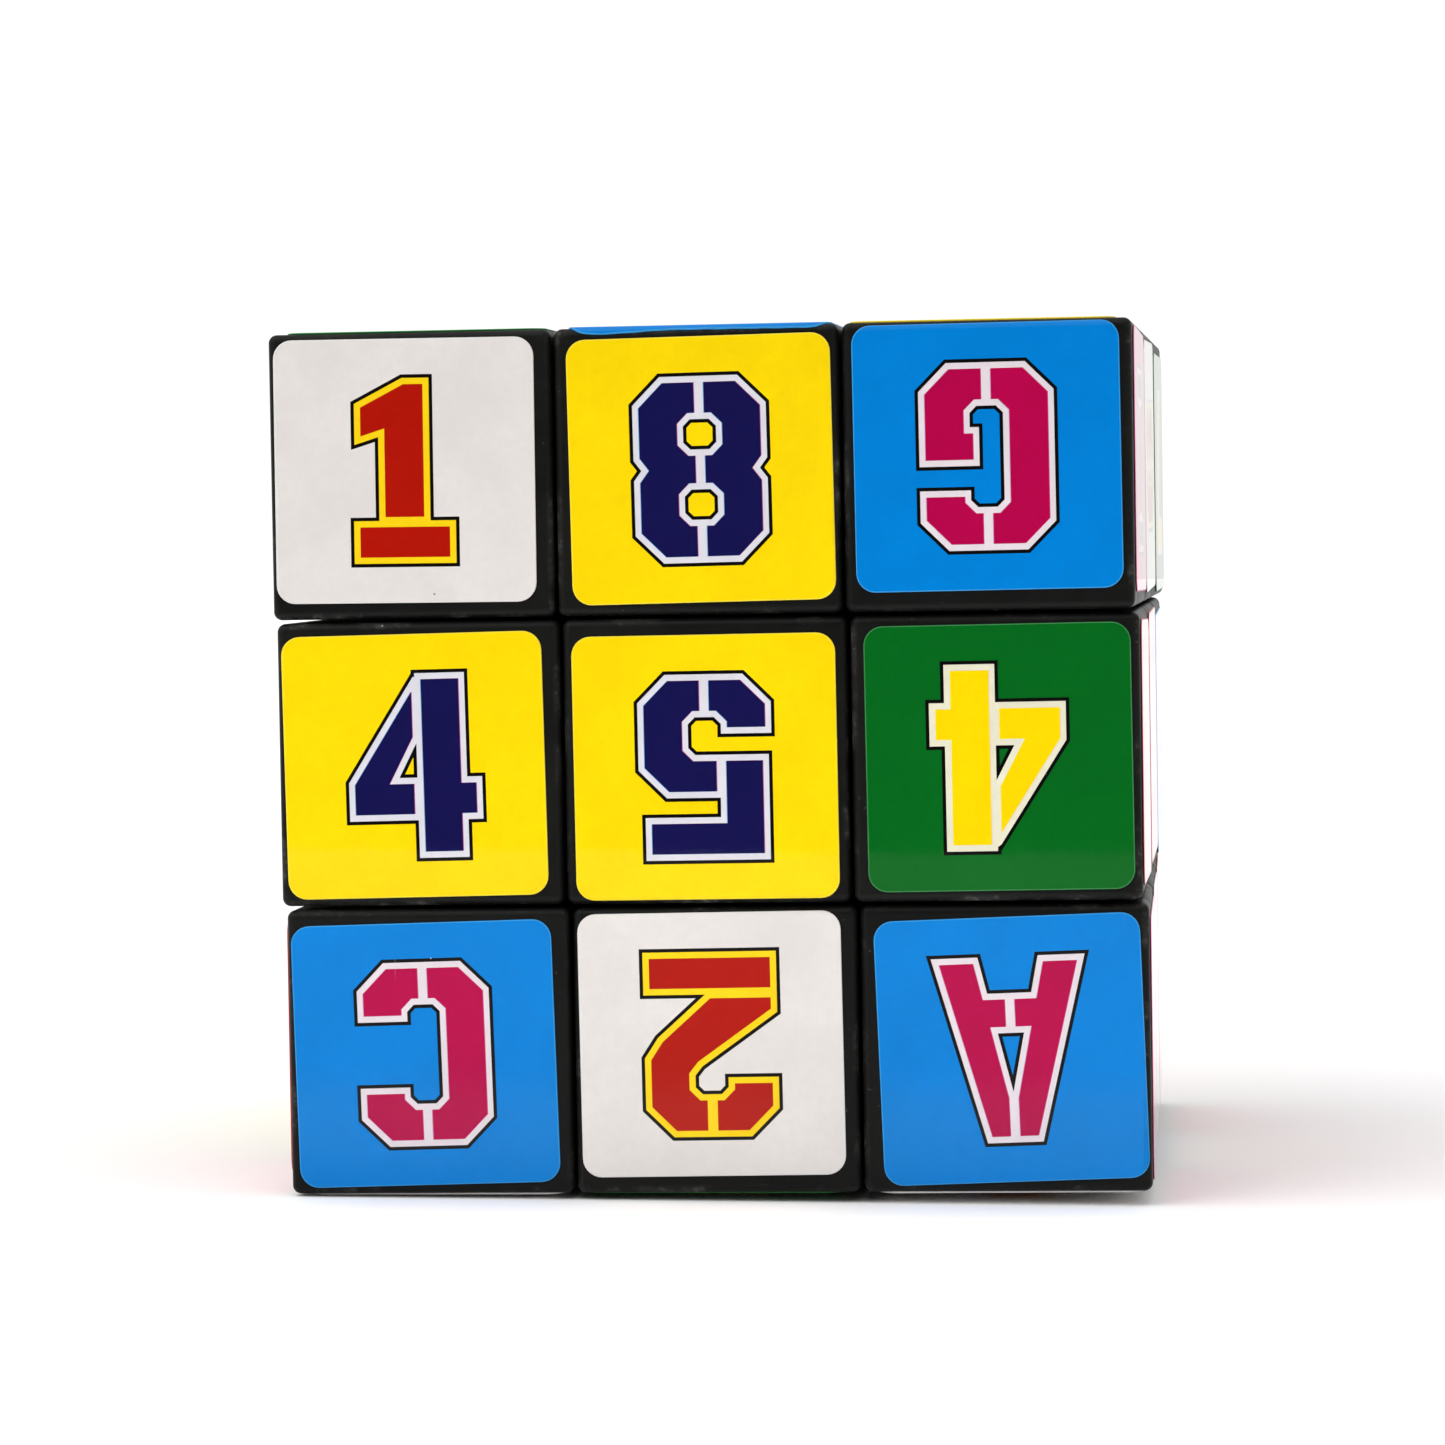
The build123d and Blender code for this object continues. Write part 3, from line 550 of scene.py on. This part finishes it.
FILMS = {}
for i, (key, (word, colour)) in enumerate(GROUND.items()):
    fill, band, slip_a, slip_b = INKS[key]
    FILMS[key] = {
        "ground": ink(f"film_{word}", colour, i + 1, paper=key == "W"),
        "rim": ink(f"film_{word}_cut_edge", tuple(int(v * 0.78 + 232 * 0.22) for v in colour), i + 9, rough=0.34, specks=0.3),
        "fill": ink(f"film_{word}_legend", fill, i + 17),
        "band": ink(f"film_{word}_band", band, i + 25),
        "line": ink(f"film_{word}_line", (14, 12, 12), i + 33, mottle=0.12),
        "slip_a": ink(f"film_{word}_slip_left", slip_a, i + 41) if slip_a else None,
        "slip_b": ink(f"film_{word}_slip_right", slip_b, i + 49) if slip_b else None,
    }
ROLES = ("ground", "rim", "fill", "band", "line", "slip_a", "slip_b")
SHAPES = {name: [trace(p) for p in paths] for name, paths in GLYPHS.items()}
SHAPES["9"] = [-loop for loop in SHAPES["6"]]


# ------------------------------------------------------------------ stickers
def bend(flat, limits):
    """Lays film points (right, up, height above the face) over the small cube's rounded edges. limits: flat half-widths right, left, up, down."""
    out = flat.copy()
    h = flat[:, 2].copy()
    drop = np.zeros(len(flat))
    mid = EDGE_R + FILM / 2
    for axis, hi, lo in ((0, limits[0], limits[1]), (1, limits[2], limits[3])):
        for sign, lim in ((1, hi), (-1, lo)):
            over = sign * flat[:, axis] - lim
            m = over > 0
            a = np.minimum(over[m] / mid, math.pi / 2)
            rest = np.maximum(over[m] - mid * math.pi / 2, 0)
            out[m, axis] = sign * (lim + (EDGE_R + h[m]) * np.sin(a))
            drop[m] += (EDGE_R + h[m]) * (1 - np.cos(a)) + rest
    out[:, 2] = h - drop
    return out


def sticker(face, row, col):
    du, dv, turn = FIT[face][3 * row + col]
    key, legend, quarters = STICKERS[face][3 * row + col]
    n, u, v = (np.array(x, float) for x in FACES[face])
    name = f"sticker_{face}_{ROWS[row]}_{COLS[col]}"
    wraps = face == "top" and (row, col) == (2, 1)
    outline = rounded(STICKER / 2, STICKER_R)
    if wraps:  # this one was put on too far forward and hangs over the edge, with a wavy cut
        dense = []
        for a, b in zip(outline, np.roll(outline, -1, axis=0)):
            k = max(1, int(np.hypot(*(b - a)) / 0.45))
            dense += [a + (b - a) * j / k for j in range(k)]
        outline = np.array(dense)
        low = outline[:, 1] < -STICKER / 2 + 0.9
        x = outline[low, 0]
        ease = np.clip((8.3 - np.abs(x)) / 1.5, 0, 1)
        outline[low, 1] -= ease * np.interp(x, (-8.3, -7.0, -5.6, -4.3, -3.2, -2.1, 0.0, 2.3, 4.6, 6.8), (0.12, 0.17, 0.14, 0.07, 0.0, -0.05, -0.03, 0.0, 0.03, 0.07))
        outline[low, 1] += ease * 0.012 * np.sin(x * 3.3)
    outline = turned(outline, turn) + (du, dv)
    rims = [grow(outline, -CUT), grow(outline, -CUT * 0.35)]
    fills = [turned(turned(s, 90 * quarters), turn) + (du, dv) for s in SHAPES[legend]]
    bands = [grow(s, BAND) for s in fills]
    lines = [grow(s, BAND + LINE) for s in fills]
    slip = np.array([SLIP, 0.01])
    films = FILMS[key]
    loops = [outline] + rims + fills + bands + lines
    if films["slip_a"]:
        loops += [s - slip for s in fills]
    if films["slip_b"]:
        loops += [s + slip for s in fills]
    verts, edges = [], []
    for loop in loops:
        k = len(verts)
        verts += [Vector((float(a), float(b))) for a, b in loop]
        edges += [(k + i, k + (i + 1) % len(loop)) for i in range(len(loop))]
    side = lambda outer: FLAT_OUT if outer else FLAT_IN
    limits = (side(col == 2), side(col == 0), side(row == 0), side(row == 2))
    for axis, k, lim in ((0, 1, limits[0]), (0, -1, limits[1]), (1, 1, limits[2]), (1, -1, limits[3])):
        reach = (k * outline[:, axis]).max()
        if reach <= lim:
            continue
        steps = max(2, math.ceil((reach - lim) / 0.07))
        for j in range(steps):
            at = k * (lim + (reach - lim) * j / steps)
            a, b = [at, -9.9], [at, 9.9]
            if axis:
                a, b = a[::-1], b[::-1]
            verts += [Vector(a), Vector(b)]
            edges.append((len(verts) - 2, len(verts) - 1))
    pts, _, tris, _, _, _ = delaunay_2d_cdt(verts, edges, [], 0, 1e-5)
    pts = np.array([tuple(p) for p in pts])
    tris = np.array([t for t in tris], int)
    a, b, c = pts[tris[:, 0]], pts[tris[:, 1]], pts[tris[:, 2]]
    area = (b[:, 0] - a[:, 0]) * (c[:, 1] - a[:, 1]) - (b[:, 1] - a[:, 1]) * (c[:, 0] - a[:, 0])
    tris[area < 0] = tris[area < 0][:, ::-1]
    mids = (a + b + c) / 3
    keep = inside(mids, outline) & (np.abs(area) > 1e-9)
    tris, mids = tris[keep], mids[keep]

    role = np.zeros(len(tris), int)
    in_line = np.zeros(len(tris), bool)
    in_band, in_fill, in_a, in_b = in_line.copy(), in_line.copy(), in_line.copy(), in_line.copy()
    for s in fills:
        in_line |= near(mids, s, BAND + LINE)
        in_band |= near(mids, s, BAND)
        in_fill |= inside(mids, s)
        in_a |= inside(mids, s - slip)
        in_b |= inside(mids, s + slip)
    role[in_line] = 4
    role[in_band] = 3
    if films["slip_a"]:
        role[in_a & ~in_fill] = 5
    if films["slip_b"]:
        role[in_b & ~in_fill] = 6
    role[in_fill] = 2
    role[~inside(mids, rims[0])] = 1

    used = np.unique(tris)
    index = -np.ones(len(pts), int)
    index[used] = np.arange(len(used))
    tris, top = index[tris], pts[used]
    gap = gap_to(top, outline)
    full = THICK
    # The film's cut wall. On the right face it takes the black line ink as painted shade. On the top and bottom faces,
    # except green, it takes the pale cut-edge film as painted light. Elsewhere it takes the sticker's own ground
    # colour.
    wall_with_painted_light_and_shade = 4 if face == "right" else 1 if face in ("top", "bottom") and key != "G" else 0
    h = full - 0.045 * np.clip(1 - gap / CUT, 0, 1) ** 2
    upper = np.column_stack([top, h])
    count = len(upper)
    # the boundary, for the cut edge and the underside
    seen = {}
    for t in tris:
        for i in range(3):
            p, q = int(t[i]), int(t[(i + 1) % 3])
            if (q, p) in seen:
                del seen[(q, p)]
            else:
                seen[(p, q)] = True
    follow = {p: q for p, q in seen}
    start = min(follow)
    ring = [start]
    while follow[ring[-1]] != start:
        ring.append(follow[ring[-1]])
    flat_ok = all((k * outline[:, ax]).max() <= lim for ax, k, lim in
                  ((0, 1, limits[0]), (0, -1, limits[1]), (1, 1, limits[2]), (1, -1, limits[3])))
    faces = [tuple(int(x) for x in t) for t in tris]
    roles = list(role)
    curved = bend(upper, limits)[:, 2] < full - 1e-6
    smooth = [bool(x) for x in curved[tris].any(axis=1)]
    if flat_ok:
        under = upper[ring].copy()
        under[:, 2] = 0
        low = {p: count + i for i, p in enumerate(ring)}
        bottom = [tuple(low[p] for p in ring[::-1])]
    else:
        under = upper.copy()
        under[:, 2] = 0
        low = {p: count + p for p in ring}
        bottom = [tuple(count + int(x) for x in t[::-1]) for t in tris]
    for i, p in enumerate(ring):
        q = ring[(i + 1) % len(ring)]
        faces.append((p, low[p], low[q], q))
        roles.append(wall_with_painted_light_and_shade)
        smooth.append(False)
    faces += bottom
    roles += [1] * len(bottom)
    smooth += [False] * len(bottom)
    all_pts = bend(np.vstack([upper, under]), limits)
    middle = n * HALF + u * (col - 1) * PITCH + v * (1 - row) * PITCH
    world = (middle + all_pts[:, :1] * u + all_pts[:, 1:2] * v + all_pts[:, 2:] * n) * MM
    layer = face if face in ("top", "bottom") else {0: "top", 2: "bottom"}.get(row)
    world[:, :2] = turned(world[:, :2], LAYER_TURN.get(layer, 0.0))
    mesh = bpy.data.meshes.new(name)
    mesh.from_pydata([tuple(p) for p in world], [], faces)
    table = {}
    for i, word in enumerate(ROLES):
        if films[word] is not None and (np.array(roles) == i).any():
            table[i] = len(mesh.materials)
            mesh.materials.append(films[word])
    mesh.polygons.foreach_set("material_index", [table[r] for r in roles])
    mesh.polygons.foreach_set("use_smooth", smooth)
    mesh.update()
    obj = bpy.data.objects.new(name, mesh)
    bpy.context.scene.collection.objects.link(obj)
    if (row, col) == (1, 1):
        body, stands_for = f"{face}_centre", f"{face}_centre_sticker"
    elif face in ("top", "bottom"):
        body, stands_for = f"{face}_layer", f"{face}_face_stickers"
    elif row == 1:
        body, stands_for = "core", "middle_layer_stickers"
    else:
        body, stands_for = LAYER_OF[row], f"{LAYER_OF[row]}_side_stickers"
    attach(obj, body)
    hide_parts(stands_for)
    return obj


for face in FACES:
    for row in range(3):
        for col in range(3):
            sticker(face, row, col)

# ------------------------------------------------------------------ the plastic and metal parts
SHELLS = {
    "top": black_plastic("black_shell_top", 1, square=LAYER_TURN["top"]),
    "middle": black_plastic("black_shell_middle", 5),
    "bottom": black_plastic("black_shell_bottom", 6, square=LAYER_TURN["bottom"]),
}
CAP = black_plastic("black_cap", 2)
BASE = black_plastic("black_base", 3, colour=(19, 18, 18), rough=0.48, wear=0.5, dust=0.4)
FOOT = black_plastic("black_foot", 4, colour=(18, 17, 17), rough=0.32, wear=1.3, dust=0.5, grain=0.6)
CORE = light_plastic("core_plastic")
SCREW = steel("screw_steel", (200, 200, 202), 0.24, (900, 900, 900))
WASHER = steel("washer_steel", (180, 180, 184), 0.30, (1500, 1500, 300))
SPRING = steel("spring_steel", (165, 165, 170), 0.27, (700, 700, 3000))


def finish_for(node):
    if node == "core_spider":
        return CORE
    if node == "centre_screws":
        return SCREW
    if node == "screw_washers":
        return WASHER
    if node.endswith("_spring"):
        return SPRING
    if node.endswith("_feet"):
        return FOOT
    if node.endswith("_base"):
        return BASE
    if node.endswith("_cap"):
        return CAP
    return SHELLS[node.split("_")[0]]


def centre_spring(face):
    """The helical spring of one centre piece, standing on the screw's washer."""
    floor, seat, wire, radius, turns = 15.9, 20.6, 0.28, 2.45, 5
    n, u, v = (np.array(x, float) for x in FACES[face])
    around, sides = 150, 10
    low, high = floor + wire + 0.03, seat - wire - 0.03
    verts, faces = [], []
    slope = (high - low) / (turns * 2 * math.pi * radius)
    for i in range(around + 1):
        a = 2 * math.pi * turns * i / around
        out = math.cos(a) * u + math.sin(a) * v
        along = (-math.sin(a) * u + math.cos(a) * v) + slope * n
        along /= np.linalg.norm(along)
        side = np.cross(along, out)
        centre = out * radius + n * (low + (high - low) * i / around)
        for j in range(sides):
            b = 2 * math.pi * j / sides
            verts.append(tuple((centre + wire * (math.cos(b) * out + math.sin(b) * side)) * MM))
    for i in range(around):
        for j in range(sides):
            k = (j + 1) % sides
            faces.append((i * sides + j, (i + 1) * sides + j, (i + 1) * sides + k, i * sides + k))
    faces.append(tuple(range(sides)))
    faces.append(tuple(around * sides + j for j in range(sides))[::-1])
    mesh = bpy.data.meshes.new(f"{face}_spring_coil")
    mesh.from_pydata(verts, [], faces)
    mesh.materials.append(SPRING)
    bm = bmesh.new()
    bm.from_mesh(mesh)
    bmesh.ops.recalc_face_normals(bm, faces=bm.faces)
    for f in bm.faces:
        f.smooth = len(f.verts) == 4
    bm.to_mesh(mesh)
    bm.free()
    obj = bpy.data.objects.new(f"{face}_spring_coil", mesh)
    bpy.context.scene.collection.objects.link(obj)
    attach(obj, f"{face}_layer" if face in ("top", "bottom") else "core")
    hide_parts(f"{face}_centre_spring")
    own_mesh(obj)


for face in FACES:
    centre_spring(face)

for node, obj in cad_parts.items():
    if "sticker" in node or node.endswith("_spring"):
        continue
    finish = finish_for(node)
    if obj.material_slots:
        for s in obj.material_slots:
            s.material = finish
    else:
        obj.data.materials.append(finish)

# ------------------------------------------------------------------ camera
yaw, pitch, roll = (math.radians(x) for x in (6.373, -2.34, 0.945))
turn = Matrix.Rotation(yaw, 3, "Z") @ Matrix.Rotation(pitch, 3, "X") @ Matrix.Rotation(roll, 3, "Y")
right, ahead, up = turn.col[0].copy(), turn.col[1].copy(), turn.col[2].copy()
rotation = Matrix((right, up, -ahead)).transposed().to_4x4()
lens = bpy.data.cameras.new("camera")
lens.lens, lens.sensor_width = 123.52, 36.0
lens.clip_start, lens.clip_end = 0.02, 50.0
camera = bpy.data.objects.new("camera", lens)
camera.matrix_world = Matrix.Translation((0.03721, -0.35145, 0.0158)) @ rotation
bpy.context.scene.collection.objects.link(camera)
bpy.context.scene.camera = camera

# ------------------------------------------------------------------ floor, light and background
FLOOR_Z = -(HALF + FILM) * MM


def paper_floor():
    """A smooth white paper floor with a very faint unevenness."""
    m = Nodes("paper_floor")
    cloud = m.noise(9, 3, 0.5)
    c = m.blend(m.ramp(cloud, 0.35, 0.65), rgb(244, 244, 245), rgb(250, 250, 250))
    m.link(c, m.shader.inputs["Base Color"])
    m.link(m.ramp(m.noise(160, 2), 0.3, 0.7, 0.62, 0.72), m.shader.inputs["Roughness"])
    m.link(m.bump(m.noise(900, 3), 0.00002, 0.3), m.shader.inputs["Normal"])
    m.shader.inputs["Specular IOR Level"].default_value = 0.12
    return m.material


def add_floor():
    xs, ys = np.linspace(-2.2, 2.2, 12), np.linspace(-0.363, 3.2, 10)
    # the puzzle stands on its left side; the floor falls away a hair under the right
    verts = [(float(x), float(y), FLOOR_Z - 0.0145 * (float(x) + HALF * MM)) for y in ys for x in xs]
    faces = [(j * 12 + i, j * 12 + i + 1, (j + 1) * 12 + i + 1, (j + 1) * 12 + i) for j in range(9) for i in range(11)]
    mesh = bpy.data.meshes.new("floor")
    mesh.from_pydata(verts, [], faces)
    mesh.materials.append(paper_floor())
    obj = bpy.data.objects.new("floor", mesh)
    bpy.context.scene.collection.objects.link(obj)


def studio():
    """An even white studio: bright overhead, behind and low down at the sides, and dim straight ahead of the object, where the photographer stands."""
    world = bpy.data.worlds.new("studio")
    bpy.context.scene.world = world
    world.use_nodes = True
    tree = world.node_tree
    tree.nodes.clear()
    new, link = tree.nodes.new, tree.links.new
    out = new("ShaderNodeOutputWorld")
    seen, lit, mix = new("ShaderNodeBackground"), new("ShaderNodeBackground"), new("ShaderNodeMixShader")
    path, where, sep = new("ShaderNodeLightPath"), new("ShaderNodeTexCoord"), new("ShaderNodeSeparateXYZ")
    link(where.outputs["Generated"], sep.inputs[0])

    def combine(op, a, b):
        n = new("ShaderNodeMath")
        n.operation = op
        for k, v in enumerate((a, b)):
            if isinstance(v, (int, float)):
                n.inputs[k].default_value = v
            else:
                link(v, n.inputs[k])
        return n.outputs[0]

    total = DIM
    for strength, spans in SKY:
        term = strength
        for axis, values in spans:
            span = new("ShaderNodeMapRange")
            span.interpolation_type = "SMOOTHSTEP"
            link(sep.outputs["XYZ".index(axis)], span.inputs[0])
            for k, v in enumerate(values):
                span.inputs[k + 1].default_value = v
            term = combine("MULTIPLY", span.outputs[0], term)
        total = combine("ADD", term, total)
    link(total, lit.inputs["Strength"])
    lit.inputs["Color"].default_value = (1.0, 0.998, 0.99, 1)
    seen.inputs["Color"].default_value = (1, 1, 1, 1)
    seen.inputs["Strength"].default_value = 1.05
    link(path.outputs["Is Camera Ray"], mix.inputs[0])
    link(lit.outputs[0], mix.inputs[1])
    link(seen.outputs[0], mix.inputs[2])
    link(mix.outputs[0], out.inputs[0])


def key_light(toward, spread, strength):
    """A broad soft key: a disc of light spread degrees wide, seen in the direction given."""
    lamp = bpy.data.lights.new("key_light", "SUN")
    lamp.energy, lamp.angle = strength, math.radians(spread)
    obj = bpy.data.objects.new("key_light", lamp)
    obj.rotation_mode = "QUATERNION"
    obj.rotation_quaternion = Vector(toward).to_track_quat("Z", "Y")
    bpy.context.scene.collection.objects.link(obj)


def floor_pool(at, size, spread, power):
    """A hooded lamp straight above the floor in front: the paper there throws light up onto the lower rows. It leaves no highlight of its own."""
    lamp = bpy.data.lights.new("floor_pool", "AREA")
    lamp.shape, lamp.size, lamp.size_y = "RECTANGLE", size[0], size[1]
    lamp.energy, lamp.spread = power, math.radians(spread)
    obj = bpy.data.objects.new("floor_pool", lamp)
    obj.location = at
    obj.visible_glossy = False
    bpy.context.scene.collection.objects.link(obj)


DIM = 0.015
AHEAD = ("Y", (-0.955, -0.82, 0.0, 1.0))     # leaves out a cone straight ahead
SKY = [
    (0.30, (AHEAD,)),
    (0.28, (AHEAD, ("Y", (-0.2, 0.25, 1.0, 0.0)), ("Z", (0.30, 0.60, 1.0, 0.0)))),          # low in front and at the sides
    (0.60, (("Y", (-0.1, 0.35, 1.0, 0.0)), ("Z", (0.30, 0.60, 0.0, 1.0)))),                 # high in front
    (0.66, (("Y", (-0.1, 0.4, 0.0, 1.0)), ("Z", (0.30, 0.60, 1.0, 0.0)))),                  # low behind
    (0.27, (("Y", (-0.1, 0.35, 0.0, 1.0)), ("Z", (0.30, 0.60, 0.0, 1.0)))),                 # high behind
    (0.74, (("Z", (0.60, 0.95, 0.0, 1.0)),)),
]
add_floor()
studio()
floor_pool((0.0, -0.070, 0.25), (0.17, 0.050), 8, 0.026)
key_light((-0.64, -0.38, 0.75), 52, 0.97)
bpy.context.scene.view_settings.view_transform = "Standard"
bpy.context.scene.view_settings.look = "None"
